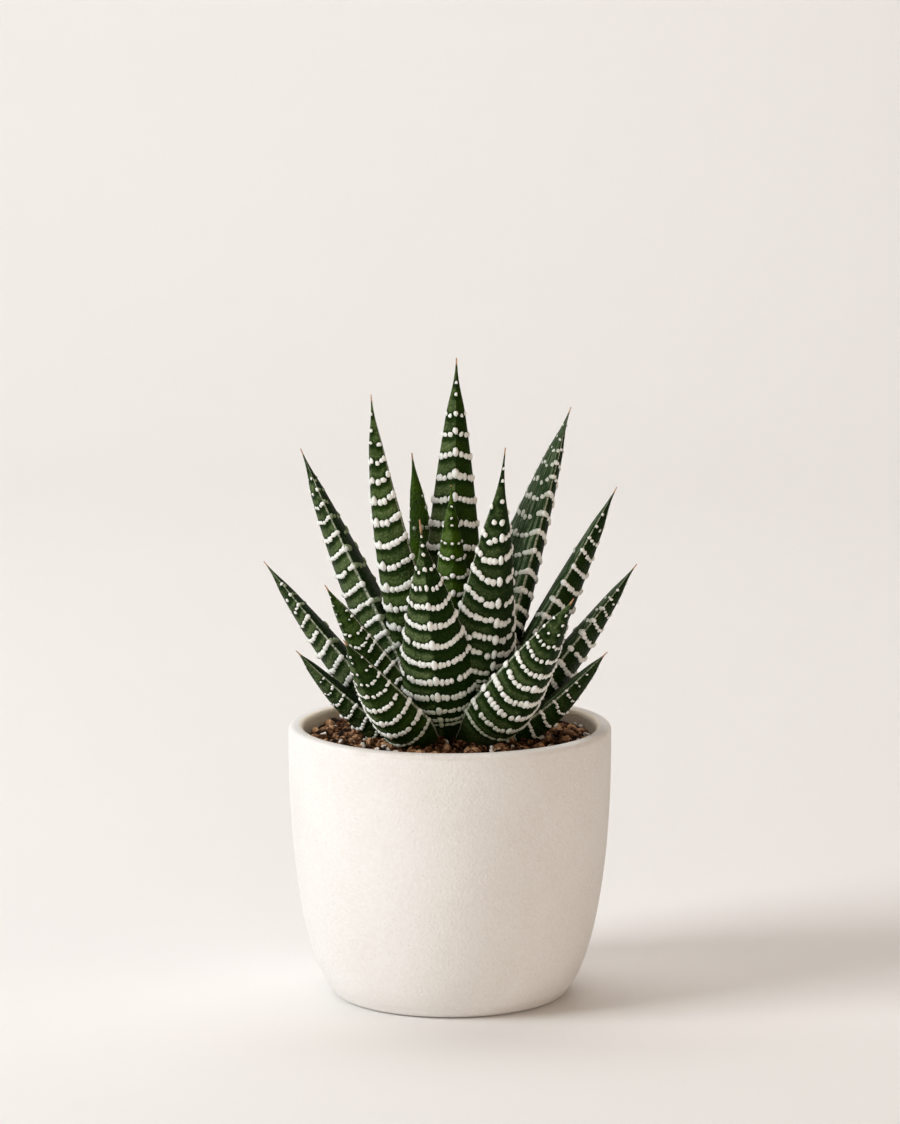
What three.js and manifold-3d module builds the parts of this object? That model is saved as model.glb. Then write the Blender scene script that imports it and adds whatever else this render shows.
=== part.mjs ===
// Potted haworthia: a zebra plant grown in a small white ceramic pot.
// Millimetres, +Z up. The pot stands on z = 0 round the Z axis, and the front of the plant faces -Y.
import * as THREE from 'three';
import { mergeVertices } from 'three/addons/utils/BufferGeometryUtils.js';
import Module from 'manifold-3d';

const wasm = await Module();
wasm.setup();

const GAP = 0.3; // kept between pieces that touch
const WELD = 0.0001; // points closer than this are one

// Pot: a turned cup with a rounded foot, a thin rim and one drainage hole.
const POT_RADIUS = 45;
const POT_HEIGHT = 76.4;
const POT_SIDES = 64;
const POT_CURVE_STEPS = 5; // straight steps in each curve of the outline
const FOOT_RADIUS = 29.5;
const FOOT_EDGE = 3; // radius of the turned edge above the foot
const FOOT_EDGE_RISE = 2.1;
const FOOT_EDGE_FLARE = 0.9;
const FOOT_RECESS_RADIUS = 22;
const FOOT_RECESS = 1.2;
const HOLE_RADIUS = 6;
const FLOOR_TOP = 6;
const WALL = 4.3;
const MOUTH_RADIUS = POT_RADIUS - WALL;
const RIM_OUTER_ROUND = 1.6;
const RIM_INNER_ROUND = 1.8;
const BELLY = [39.5, 8.5]; // radius and height that the wall swells towards above the foot
const SHOULDER = [0.4, 34]; // how far past the rim's radius the wall leans at that height
const INNER_SHOULDER = 0.3; // how far past the mouth's radius its inside leans there
const BOWL_RADIUS = 24; // flat floor inside
const BOWL_CORNER = 36.5; // how far out the floor swings before it turns up into the wall

// Soil: fills the pot to just under the rim and heaps up a little round the plant.
const SOIL_LEVEL = 72.2;
const SOIL_HEAP = 4;
const SOIL_HEAP_RADIUS = 32;
const SOIL_LUMP = 0.5; // height of its unevenness
const SOIL_WAVES = [0.61, 0.53]; // how fast that rises and falls, in radians a millimetre
const SOIL_SIDES = 36;
const SOIL_CURVE_STEPS = 4;
const SOIL_CORNER = 35;
const SOIL_SHRINK = 0.1; // the dry soil stands this far from the wall, past the gap
const SOIL_RINGS = [0.9, 0.78, 0.66, 0.54, 0.42, 0.3, 0.15, 0]; // shares of its radius at the top

// Stem: a short blunt cone that every leaf grows from, with fleshy roots under it.
const STEM_FOOT = 56;
const STEM_TOP = 83;
const STEM_RADIUS = 9;
const STEM_TOP_RADIUS = 2;
const STEM_SIDES = 16;
const ROOT_COUNT = 7;
const ROOT_RADIUS = 1.8;
const ROOT_SPREAD = 22;
const ROOT_DEPTH = 30;
const ROOT_TAPER = 0.7; // share of its radius that a root loses by its end
const ROOT_KINK = 4; // each root starts this far above the stem's foot and bends this far below it
const ROOT_TURN = 0.4; // radians from +X to the first root
const ROOT_UNEVEN = [0.25, 0.2]; // shares of the spread and the depth that differ between roots
const ROOT_SIDES = 8;
const ROOT_STEPS = 7;

// Leaf: its section is given as shares of its width, from the root to the tip.
const LEAF_SIDES = 12;
const LEAF_STEPS = 12;
const LEAF_KEEL = [0.44, 0.43]; // bulge of the outer face
const LEAF_RIDGE = [0, 0.4]; // how much of that bulge is a sharp ridge, the rest being round
const LEAF_INNER_BULGE = [0.07, 0.24];
const LEAF_TIP_WIDTH = 0.7;
const LEAF_WIDEST = 0.3; // share of the length at which a leaf is widest
const LEAF_NECK = 0.5; // width at the root, as a share of the full width
const LEAF_POINT_BLUNT = 0.04; // share of the length that the drawn-out point stops short of a true point

// How a leaf narrows past its widest place: the power of its taper, and the share of its length that
// is drawn out to a point.
const BLADE = [1.5, 0.15];
const SPEAR = [1.3, 0.2];
const TEARDROP = [1, 0.3];

// One entry for each leaf, youngest first. bearing is the compass direction that its outer face looks
// in (0 is the front, 90 the right), out and root are its start's distance from the stem's axis and
// height, tip is where its point is, bow is how far it swings outward a third and two thirds of the
// way up, and narrows is its way of tapering.
const LEAVES = [
  {
    name: 'leaf_inner_front_tall', bearing: 2, out: 2, root: 76, tip: [1.8, -2, 179.2],
    width: 17.5, bow: [3, 1.5], narrows: BLADE,
  },
  {
    name: 'leaf_inner_front_young', bearing: 5, out: 5, root: 74, tip: [0.3, -19, 146.3],
    width: 14, bow: [3, 1.5], narrows: BLADE,
  },
  {
    name: 'leaf_inner_back_left', bearing: -165, out: 3, root: 75, tip: [-10.6, 7, 151.5],
    width: 12.5, bow: [3, 1.5], narrows: BLADE,
  },
  {
    name: 'leaf_inner_left_tall', bearing: -45, out: 4, root: 74, tip: [-21.6, -11, 170.2],
    width: 16.5, bow: [0.5, 6], narrows: BLADE,
  },
  {
    name: 'leaf_inner_right_tall', bearing: 118, out: 2, root: 74, tip: [33.6, 9, 164.2],
    width: 22, bow: [-1.5, -0.7], narrows: BLADE,
  },
  {
    name: 'leaf_inner_front_right', bearing: 26, out: 6, root: 73, tip: [15, -26, 157.6],
    width: 22.5, bow: [5.5, 3], narrows: TEARDROP,
  },
  {
    name: 'leaf_inner_back', bearing: 180, out: 4, root: 73, tip: [1.5, 36, 136],
    width: 17, bow: [4, 2], narrows: SPEAR,
  },
  {
    name: 'leaf_inner_back_right', bearing: 146, out: 5, root: 72, tip: [21, 36, 128],
    width: 17, bow: [4, 2], narrows: SPEAR,
  },
  {
    name: 'leaf_middle_left', bearing: -91, out: 3, root: 72, tip: [-41.4, 6, 152.9],
    width: 21, bow: [-2.5, 1.5], narrows: BLADE,
  },
  {
    name: 'leaf_middle_right', bearing: 84, out: 5, root: 71, tip: [46.3, 4, 142.5],
    width: 19, bow: [1, 0.5], narrows: BLADE,
  },
  {
    name: 'leaf_middle_front', bearing: -3, out: 3, root: 71, tip: [-8.2, -38, 139.7],
    width: 25, bow: [4.5, 2.7], narrows: TEARDROP,
  },
  {
    name: 'leaf_middle_back_left', bearing: -145, out: 6, root: 71, tip: [-17, 32, 129],
    width: 17, bow: [4.5, 2.3], narrows: SPEAR,
  },
  {
    name: 'leaf_middle_back', bearing: 170, out: 8, root: 70, tip: [7, 41, 120],
    width: 18, bow: [5, 2.5], narrows: SPEAR,
  },
  {
    name: 'leaf_outer_left', bearing: -85, out: 5, root: 70, tip: [-51.8, 5, 121.4],
    width: 17, bow: [2, 1], narrows: BLADE,
  },
  {
    name: 'leaf_outer_right', bearing: 86, out: 6, root: 70, tip: [51.8, 0, 121.5],
    width: 17, bow: [3, 1.5], narrows: BLADE,
  },
  {
    name: 'leaf_outer_front_left_small', bearing: -40, out: 6, root: 73, tip: [-34.1, -26, 119.9],
    width: 16.5, bow: [2, 1], narrows: BLADE,
  },
  {
    name: 'leaf_outer_front_left', bearing: -28, out: 11, root: 73, tip: [-28.8, -39, 107],
    width: 18, bow: [4, 2], narrows: BLADE,
  },
  {
    name: 'leaf_outer_front_right', bearing: 24, out: 11, root: 73, tip: [33.4, -36, 117.8],
    width: 20.5, bow: [4.5, 2.2], narrows: BLADE,
  },
  {
    name: 'leaf_outer_back', bearing: -178, out: 10, root: 69, tip: [-4, 43, 106],
    width: 17, bow: [6, 3], narrows: SPEAR,
  },
  {
    name: 'leaf_outer_back_left', bearing: -138, out: 8, root: 69, tip: [-28, 32, 105],
    width: 17, bow: [6, 3], narrows: SPEAR,
  },
  {
    name: 'leaf_outer_back_right', bearing: 134, out: 8, root: 69, tip: [31, 31, 102],
    width: 17, bow: [6, 3], narrows: SPEAR,
  },
  {
    name: 'leaf_lowest_left', bearing: -80, out: 9, root: 72, tip: [-42.4, -13, 99.4],
    width: 14.5, bow: [3.5, 1.7], narrows: BLADE,
  },
  {
    name: 'leaf_lowest_right', bearing: 78, out: 9, root: 72, tip: [43.3, -12, 98.8],
    width: 15, bow: [4.5, 2.2], narrows: BLADE,
  },
  {
    name: 'leaf_lowest_back_left', bearing: -160, out: 11, root: 69, tip: [-17, 42, 92],
    width: 15, bow: [5, 2.5], narrows: BLADE,
  },
  {
    name: 'leaf_lowest_back_right', bearing: 158, out: 11, root: 69, tip: [18, 42, 90],
    width: 15, bow: [5, 2.5], narrows: BLADE,
  },
];

const WHITE_CERAMIC = { color: 0xece7df, roughness: 0.6, metalness: 0 };
const BARK_GRIT = { color: 0x5c3a26, roughness: 0.95, metalness: 0 };
const PALE_STEM = { color: 0x8d9a5c, roughness: 0.7, metalness: 0 };
const LEAF_GREEN = { color: 0x3c5a2c, roughness: 0.5, metalness: 0 };

function smooth(from, to, value) {
  const t = THREE.MathUtils.clamp((value - from) / (to - from), 0, 1);
  return t * t * (3 - 2 * t);
}

// Booleans: a closed geometry as a solid, a solid as a geometry, and the biggest lump of a cut solid.
function solid(geometry) {
  const bare = geometry.clone();
  bare.deleteAttribute('normal');
  bare.deleteAttribute('uv');
  const merged = mergeVertices(bare, WELD);
  const vertProperties = merged.attributes.position.array;
  const triVerts = new Uint32Array(merged.index.array);
  return new wasm.Manifold(new wasm.Mesh({ numProp: 3, vertProperties, triVerts }));
}

function geometryOf(body) {
  const mesh = body.getMesh();
  const geometry = new THREE.BufferGeometry();
  geometry.setAttribute('position', new THREE.BufferAttribute(mesh.vertProperties, 3));
  geometry.setIndex(new THREE.BufferAttribute(mesh.triVerts, 1));
  geometry.computeVertexNormals();
  return geometry;
}

function biggestLump(body) {
  const lumps = body.decompose();
  return lumps.reduce((best, lump) => (lump.volume() > best.volume() ? lump : best));
}

// A cylinder bent to a shape: place(along, sideways, outward, target) puts each of its points, where
// along runs from 0 at the foot to 1 at the top, and sideways and outward lie on the unit circle.
function bentCylinder(sides, steps, place) {
  const geometry = new THREE.CylinderGeometry(1, 1, 1, sides, steps);
  const position = geometry.attributes.position;
  const point = new THREE.Vector3();
  for (let i = 0; i < position.count; i += 1) {
    place(position.getY(i) + 0.5, position.getX(i), position.getZ(i), point);
    position.setXYZ(i, point.x, point.y, point.z);
  }
  return geometry;
}

function potGeometry() {
  const outline = new THREE.Path();
  outline.moveTo(HOLE_RADIUS, FOOT_RECESS);
  outline.lineTo(FOOT_RECESS_RADIUS, FOOT_RECESS);
  outline.lineTo(FOOT_RECESS_RADIUS + FOOT_RECESS, 0);
  outline.lineTo(FOOT_RADIUS, 0);
  const footOuter = FOOT_RADIUS + FOOT_EDGE;
  outline.quadraticCurveTo(footOuter, 0, footOuter + FOOT_EDGE_FLARE, FOOT_EDGE_RISE);
  const shoulder = POT_RADIUS + SHOULDER[0];
  outline.bezierCurveTo(...BELLY, shoulder, SHOULDER[1], POT_RADIUS, POT_HEIGHT - RIM_OUTER_ROUND);
  outline.quadraticCurveTo(POT_RADIUS, POT_HEIGHT, POT_RADIUS - RIM_OUTER_ROUND, POT_HEIGHT);
  outline.lineTo(MOUTH_RADIUS + RIM_INNER_ROUND, POT_HEIGHT);
  outline.quadraticCurveTo(MOUTH_RADIUS, POT_HEIGHT, MOUTH_RADIUS, POT_HEIGHT - RIM_INNER_ROUND);
  const innerShoulder = MOUTH_RADIUS + INNER_SHOULDER;
  outline.bezierCurveTo(innerShoulder, SHOULDER[1], BOWL_CORNER, FLOOR_TOP, BOWL_RADIUS, FLOOR_TOP);
  outline.lineTo(HOLE_RADIUS, FLOOR_TOP);
  outline.lineTo(HOLE_RADIUS, FOOT_RECESS);
  return new THREE.LatheGeometry(outline.getPoints(POT_CURVE_STEPS), POT_SIDES);
}

function soilTop(x, y) {
  const distance = Math.hypot(x, y);
  const heap = SOIL_HEAP * (1 - smooth(0, SOIL_HEAP_RADIUS, distance));
  const lumps = SOIL_LUMP * Math.sin(x * SOIL_WAVES[0] + 1) * Math.cos(y * SOIL_WAVES[1]);
  return SOIL_LEVEL + heap + lumps;
}

function soilGeometry() {
  const edge = MOUTH_RADIUS - GAP - SOIL_SHRINK;
  const outline = new THREE.Path();
  outline.moveTo(0, FLOOR_TOP + GAP);
  outline.lineTo(BOWL_RADIUS, FLOOR_TOP + GAP);
  outline.bezierCurveTo(SOIL_CORNER, FLOOR_TOP + GAP, edge, SHOULDER[1], edge, SOIL_LEVEL);
  for (const share of SOIL_RINGS) {
    outline.lineTo(edge * share, SOIL_LEVEL);
  }
  const geometry = new THREE.LatheGeometry(outline.getPoints(SOIL_CURVE_STEPS), SOIL_SIDES);
  const position = geometry.attributes.position;
  for (let i = 0; i < position.count; i += 1) {
    if (position.getY(i) > SOIL_LEVEL - WELD) {
      position.setY(i, soilTop(position.getX(i), -position.getZ(i)));
    }
  }
  return geometry;
}

function stemGeometry(grow) {
  return bentCylinder(STEM_SIDES, 1, (along, sideways, outward, point) => {
    const radius = THREE.MathUtils.lerp(STEM_RADIUS, STEM_TOP_RADIUS, along) + grow;
    const height = THREE.MathUtils.lerp(STEM_FOOT - grow, STEM_TOP + grow, along);
    point.set(sideways * radius, -outward * radius, height);
  });
}

function rootGeometry(index, grow) {
  const turn = (index / ROOT_COUNT) * Math.PI * 2 + ROOT_TURN;
  const away = new THREE.Vector3(Math.cos(turn), Math.sin(turn), 0);
  const start = new THREE.Vector3(0, 0, STEM_FOOT + ROOT_KINK).addScaledVector(away, ROOT_RADIUS);
  const reach = ROOT_SPREAD * (1 - ROOT_UNEVEN[0] * Math.cos(index) ** 2);
  const drop = ROOT_DEPTH * (1 - ROOT_UNEVEN[1] * Math.sin(index) ** 2);
  const bend = new THREE.Vector3(0, 0, STEM_FOOT - ROOT_KINK).addScaledVector(away, reach);
  const end = new THREE.Vector3(0, 0, STEM_FOOT - drop).addScaledVector(away, reach);
  const line = new THREE.QuadraticBezierCurve3(start, bend, end);
  const side = new THREE.Vector3(-away.y, away.x, 0);
  const centre = new THREE.Vector3();
  const tangent = new THREE.Vector3();
  const out = new THREE.Vector3();
  return bentCylinder(ROOT_SIDES, ROOT_STEPS, (along, sideways, outward, point) => {
    line.getPoint(along, centre);
    line.getTangent(along, tangent);
    out.crossVectors(side, tangent);
    const radius = ROOT_RADIUS * (1 - ROOT_TAPER * along) + grow;
    point.copy(centre).addScaledVector(side, sideways * radius).addScaledVector(out, outward * radius);
  });
}

// A leaf's width along it: a narrow neck, its widest at a third, then a long even taper to the point.
function leafWidth(leaf, along) {
  const [taperPower, drawnOut] = leaf.narrows;
  const neck = LEAF_NECK + (1 - LEAF_NECK) * smooth(0, LEAF_WIDEST, along);
  const taper = 1 - Math.max(0, (along - LEAF_WIDEST) / (1 - LEAF_WIDEST)) ** taperPower;
  const point = smooth(-LEAF_POINT_BLUNT, drawnOut, 1 - along);
  return (leaf.width - LEAF_TIP_WIDTH) * neck * taper * point + LEAF_TIP_WIDTH;
}

function leafLine(leaf) {
  const turn = THREE.MathUtils.degToRad(leaf.bearing);
  const away = new THREE.Vector3(Math.sin(turn), -Math.cos(turn), 0);
  const start = new THREE.Vector3(0, 0, leaf.root).addScaledVector(away, leaf.out);
  const tip = new THREE.Vector3(...leaf.tip);
  const chord = tip.clone().sub(start);
  const along = chord.clone().normalize();
  const outward = away.clone().addScaledVector(along, -away.dot(along)).normalize();
  const lower = start.clone().addScaledVector(chord, 1 / 3).addScaledVector(outward, leaf.bow[0]);
  const upper = start.clone().addScaledVector(chord, 2 / 3).addScaledVector(outward, leaf.bow[1]);
  return new THREE.CubicBezierCurve3(start, lower, upper, tip);
}

function leafGeometry(leaf, grow) {
  const line = leafLine(leaf);
  const turn = THREE.MathUtils.degToRad(leaf.bearing);
  const level = new THREE.Vector3(Math.cos(turn), Math.sin(turn), 0);
  const centre = new THREE.Vector3();
  const tangent = new THREE.Vector3();
  const side = new THREE.Vector3();
  const out = new THREE.Vector3();
  return bentCylinder(LEAF_SIDES, LEAF_STEPS, (along, sideways, outward, point) => {
    line.getPoint(along, centre);
    line.getTangent(along, tangent);
    side.copy(level).addScaledVector(tangent, -level.dot(tangent)).normalize();
    out.crossVectors(side, tangent);
    const width = leafWidth(leaf, along);
    const ridge = THREE.MathUtils.lerp(...LEAF_RIDGE, along);
    const arch = (1 - ridge) * outward + ridge * (1 - Math.abs(sideways));
    const keel = THREE.MathUtils.lerp(...LEAF_KEEL, along) * width * arch + grow * outward;
    const inner = (THREE.MathUtils.lerp(...LEAF_INNER_BULGE, along) * width + grow) * outward;
    point.copy(centre).addScaledVector(side, sideways * (width / 2 + grow));
    point.addScaledVector(out, outward > 0 ? keel : inner);
    point.addScaledVector(tangent, (along * 2 - 1) * grow);
  });
}

function part(name, geometry, material) {
  const mesh = new THREE.Mesh(geometry, new THREE.MeshStandardMaterial(material));
  mesh.name = name;
  return mesh;
}

const plant = new THREE.Group();

let stem = solid(stemGeometry(0));
let stemRoom = solid(stemGeometry(GAP));
for (let index = 0; index < ROOT_COUNT; index += 1) {
  stem = stem.add(solid(rootGeometry(index, 0)));
  stemRoom = stemRoom.add(solid(rootGeometry(index, GAP)));
}

// Older leaves give way to the stem and to every younger leaf, as they do where they are pressed together.
let taken = stemRoom;
for (const leaf of LEAVES) {
  const body = biggestLump(solid(leafGeometry(leaf, 0)).subtract(taken));
  plant.add(part(leaf.name, geometryOf(body), LEAF_GREEN));
  taken = taken.add(solid(leafGeometry(leaf, GAP)));
}

const soil = biggestLump(solid(soilGeometry().rotateX(Math.PI / 2)).subtract(taken));

plant.add(part('pot', potGeometry().rotateX(Math.PI / 2), WHITE_CERAMIC));
plant.add(part('soil', geometryOf(soil), BARK_GRIT));
plant.add(part('stem_with_roots', geometryOf(stem), PALE_STEM));

export default plant;
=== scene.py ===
# A potted haworthia: a zebra plant with white banded leaves, in bark grit in a small white ceramic pot.
import math

import bmesh
import bpy
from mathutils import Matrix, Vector


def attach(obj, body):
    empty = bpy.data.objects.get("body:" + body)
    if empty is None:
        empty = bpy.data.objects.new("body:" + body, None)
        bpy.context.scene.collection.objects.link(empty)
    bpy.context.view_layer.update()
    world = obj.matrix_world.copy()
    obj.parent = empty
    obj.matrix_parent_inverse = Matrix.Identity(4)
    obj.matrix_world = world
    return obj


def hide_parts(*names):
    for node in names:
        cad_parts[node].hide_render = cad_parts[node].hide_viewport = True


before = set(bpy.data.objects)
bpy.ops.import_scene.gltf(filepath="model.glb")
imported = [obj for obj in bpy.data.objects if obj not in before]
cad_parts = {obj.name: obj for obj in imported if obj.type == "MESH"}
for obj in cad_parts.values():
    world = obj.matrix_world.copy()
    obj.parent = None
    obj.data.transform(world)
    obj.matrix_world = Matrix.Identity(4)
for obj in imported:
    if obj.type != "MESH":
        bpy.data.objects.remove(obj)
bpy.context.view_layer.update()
MM = 0.001

# --------------------------------------------------------------------------------------------------
# Pot
# A small cup of off-white stoneware, thrown with a soft shoulder above a narrow foot and a flat rim with
# rounded edges. Its dry matt glaze is worn thin along the rim and shows fine dark specks of iron. The upper
# inside wall is tinted warm and pale, a painted bounce light.

POT_RADIUS = 45 * MM
POT_HEIGHT = 76.4 * MM
POT_WALL = 4.3 * MM
POT_FLOOR_TOP = 6 * MM
POT_FOOT_RADIUS = 29.5 * MM
POT_FOOT_EDGE = 3 * MM
POT_FOOT_FLARE = 3.9 * MM
POT_FOOT_RISE = 2.1 * MM
POT_RECESS_RADIUS = 22 * MM
POT_RECESS = 1.2 * MM
POT_HOLE_RADIUS = 6 * MM
POT_BELLY = (39.5 * MM, 8.5 * MM)
POT_SHOULDER_HEIGHT = 34 * MM
POT_SHOULDER_SWELL = 0.4 * MM
POT_INNER_SWELL = 0.3 * MM
POT_BOWL_CORNER = 36.5 * MM
POT_BOWL_RADIUS = 24 * MM
POT_RIM_OUTER_ROUND = 1.6 * MM
POT_RIM_INNER_ROUND = 1.8 * MM
POT_SIDES = 144
POT_UNEVEN = 0.1 * MM
POT_EVEN_FOOT = 10 * MM

GLAZE_WHITE = (0.845, 0.825, 0.80, 1)
GLAZE_CREAM = (0.775, 0.735, 0.695, 1)
GLAZE_SPECK = (0.50, 0.42, 0.34, 1)
# A warm pale tint painted on the upper inside wall: painted bounce light.
INSIDE_BOUNCE_TINT = (0.93, 0.83, 0.67, 1)
WORN_RADIUS = (43.6 * MM, 44.4 * MM)
WORN_HEIGHT = (74.6 * MM, 75.2 * MM)
INSIDE_RADIUS = (42.4 * MM, 41.6 * MM)
INSIDE_HEIGHT = (44 * MM, 50 * MM)  # the outside is wider than that radius above here
GLAZE_RELIEF = 0.16 * MM


class Wire:
    """One output of a node. Sums and products of wires add the nodes that work them out."""

    def __init__(self, tree, socket=None):
        self.tree = tree
        self.socket = socket

    def make(self, kind, settings=None, inputs=None):
        """A new node of that type in this tree: its settings first, then the values or wires it takes."""
        node = self.tree.nodes.new(kind)
        for name, value in (settings or {}).items():
            if name == "stops":
                ramp = node.color_ramp.elements
                while len(ramp) < len(value):
                    ramp.new(1)
                for stop, (place, colour) in zip(ramp, value):
                    stop.position = place
                    stop.color = colour
            else:
                setattr(node, name, value)
        for name, value in (inputs or {}).items():
            socket = node.inputs[name] if isinstance(name, int) else self.named(node.inputs, name)
            if isinstance(value, Wire):
                self.tree.links.new(value.socket, socket)
            else:
                socket.default_value = value
        return Wire(self.tree, next((s for s in node.outputs if s.enabled), None))

    @staticmethod
    def named(sockets, name):
        return next(s for s in sockets if s.enabled and s.name == name)

    @staticmethod
    def is_vector(term):
        return term.socket.type == "VECTOR" if isinstance(term, Wire) else isinstance(term, tuple)

    def out(self, name):
        """Another output of the same node."""
        return Wire(self.tree, self.named(self.socket.node.outputs, name))

    def maths(self, operation, *others):
        """A Math node on this wire, or a Vector Math node where one of the terms is a vector."""
        terms = (self, *others)
        vectors = [term for term in terms if self.is_vector(term)]
        if not vectors:
            return self.make("ShaderNodeMath", {"operation": operation}, dict(enumerate(terms)))
        if operation == "MULTIPLY" and len(vectors) == 1:
            scale = next(term for term in terms if term is not vectors[0])
            return self.make("ShaderNodeVectorMath", {"operation": "SCALE"}, {0: vectors[0], "Scale": scale})
        return self.make("ShaderNodeVectorMath", {"operation": operation}, dict(enumerate(terms)))

    def axes(self):
        """The node that holds this vector's X, Y and Z."""
        return self.make("ShaderNodeSeparateXYZ", None, {"Vector": self})

    def __add__(self, other):
        return self.maths("ADD", other)

    def __radd__(self, other):
        return self.maths("ADD", other)

    def __sub__(self, other):
        return self.maths("SUBTRACT", other)

    def __rsub__(self, other):
        return self.maths("MULTIPLY", -1.0).maths("ADD", other)

    def __mul__(self, other):
        return self.maths("MULTIPLY", other)

    def __rmul__(self, other):
        return self.maths("MULTIPLY", other)

    def __truediv__(self, other):
        return self.maths("DIVIDE", other)

    def __pow__(self, other):
        return self.maths("POWER", other)

    def __abs__(self):
        return self.maths("ABSOLUTE")

    def __lt__(self, other):
        return self.maths("LESS_THAN", other)

    def __gt__(self, other):
        return self.maths("GREATER_THAN", other)

    def smooth(self, low, high, start=0.0, end=1.0):
        """Runs softly from start to end as this wire goes from low to high."""
        return self.make(
            "ShaderNodeMapRange",
            {"interpolation_type": "SMOOTHSTEP"},
            {"Value": self, "From Min": low, "From Max": high, "To Min": start, "To Max": end},
        )

    def blend(self, first, second):
        """A colour that goes from first to second as this wire goes from 0 to 1."""
        return self.make("ShaderNodeMix", {"data_type": "RGBA"}, {"Factor": self, "A": first, "B": second})

    def noise(self, scale, detail=2.0, roughness=0.5):
        """A cloudy pattern read at this place."""
        inputs = {"Vector": self, "Scale": scale, "Detail": detail, "Roughness": roughness}
        return self.make("ShaderNodeTexNoise", None, inputs)

    def cells(self, scale):
        """The distance from this place to the nearest of many scattered points, in cells."""
        return self.make("ShaderNodeTexVoronoi", None, {"Vector": self, "Scale": scale})


def new_material(name):
    """A bare material, a wire in its tree, its object coordinates and its Principled shader's node."""
    material = bpy.data.materials.new(name)
    material.use_nodes = True
    tree = material.node_tree
    shader = tree.nodes["Principled BSDF"]
    start = Wire(tree)
    place = start.make("ShaderNodeTexCoord").out("Object")
    return material, start, place, shader


def finish_material(start, shader, colour, roughness, height, relief, **constants):
    """Wires colour, roughness and a bump of that height field, relief metres high, into the shader."""
    tree = start.tree
    tree.links.new(colour.socket, shader.inputs["Base Color"])
    tree.links.new(roughness.socket, shader.inputs["Roughness"])
    bump = start.make("ShaderNodeBump", None, {"Strength": 1.0, "Distance": relief, "Height": height})
    tree.links.new(bump.socket, shader.inputs["Normal"])
    for name, value in constants.items():
        shader.inputs[name.replace("_", " ")].default_value = value


def bezier(points, share):
    """The point at that share of a curve with any number of control points."""
    while len(points) > 1:
        points = [a.lerp(b, share) for a, b in zip(points, points[1:])]
    return points[0]


def pot_outline():
    """Radius and height round the pot's section, from the drainage hole up the outside and down inside. Each
    stretch has its number of steps and the control points of its curve."""
    foot = (POT_FOOT_RADIUS, 0)
    foot_corner = (POT_FOOT_RADIUS + POT_FOOT_EDGE, 0)
    foot_edge = (POT_FOOT_RADIUS + POT_FOOT_FLARE, POT_FOOT_RISE)
    recess = (POT_RECESS_RADIUS, POT_RECESS)
    ledge = (POT_RECESS_RADIUS + POT_RECESS, 0)
    shoulder = (POT_RADIUS + POT_SHOULDER_SWELL, POT_SHOULDER_HEIGHT)
    rim_side = (POT_RADIUS, POT_HEIGHT - POT_RIM_OUTER_ROUND)
    rim_corner = (POT_RADIUS, POT_HEIGHT)
    rim_top = (POT_RADIUS - POT_RIM_OUTER_ROUND, POT_HEIGHT)
    mouth = POT_RADIUS - POT_WALL
    mouth_top = (mouth + POT_RIM_INNER_ROUND, POT_HEIGHT)
    mouth_corner = (mouth, POT_HEIGHT)
    mouth_side = (mouth, POT_HEIGHT - POT_RIM_INNER_ROUND)
    inner_shoulder = (mouth + POT_INNER_SWELL, POT_SHOULDER_HEIGHT)
    bowl_corner = (POT_BOWL_CORNER, POT_FLOOR_TOP)
    bowl = (POT_BOWL_RADIUS, POT_FLOOR_TOP)
    hole_top = (POT_HOLE_RADIUS, POT_FLOOR_TOP)
    hole_foot = (POT_HOLE_RADIUS, POT_RECESS)
    stretches = [
        (4, [hole_foot, recess]),
        (2, [recess, ledge]),
        (3, [ledge, foot]),
        (6, [foot, foot_corner, foot_edge]),
        (36, [foot_edge, POT_BELLY, shoulder, rim_side]),
        (7, [rim_side, rim_corner, rim_top]),
        (3, [rim_top, mouth_top]),
        (7, [mouth_top, mouth_corner, mouth_side]),
        (14, [mouth_side, inner_shoulder, bowl_corner, bowl]),
        (3, [bowl, hole_top]),
        (3, [hole_top, hole_foot]),
    ]
    outline = []
    for steps, controls in stretches:
        controls = [Vector(c) for c in controls]
        outline += [bezier(controls, i / steps) for i in range(steps)]
    return outline


def pot_mesh():
    """The outline turned round the pot's axis, with the slight unevenness of a thrown wall."""
    mesh = bmesh.new()
    rings = []
    for radius, height in pot_outline():
        ring = []
        for i in range(POT_SIDES):
            turn = math.tau * i / POT_SIDES
            wave = math.sin(3 * turn + 40 * height) + math.sin(5 * turn + 1.7 - 90 * height)
            reach = radius - POT_UNEVEN * (0.5 + 0.25 * wave) * min(1, height / POT_EVEN_FOOT)
            ring.append(mesh.verts.new((reach * math.cos(turn), reach * math.sin(turn), height)))
        rings.append(ring)
    for lower, upper in zip(rings, rings[1:] + rings[:1]):
        for i in range(POT_SIDES):
            j = (i + 1) % POT_SIDES
            mesh.faces.new((lower[i], lower[j], upper[j], upper[i]))
    bmesh.ops.recalc_face_normals(mesh, faces=mesh.faces)
    return mesh


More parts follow.
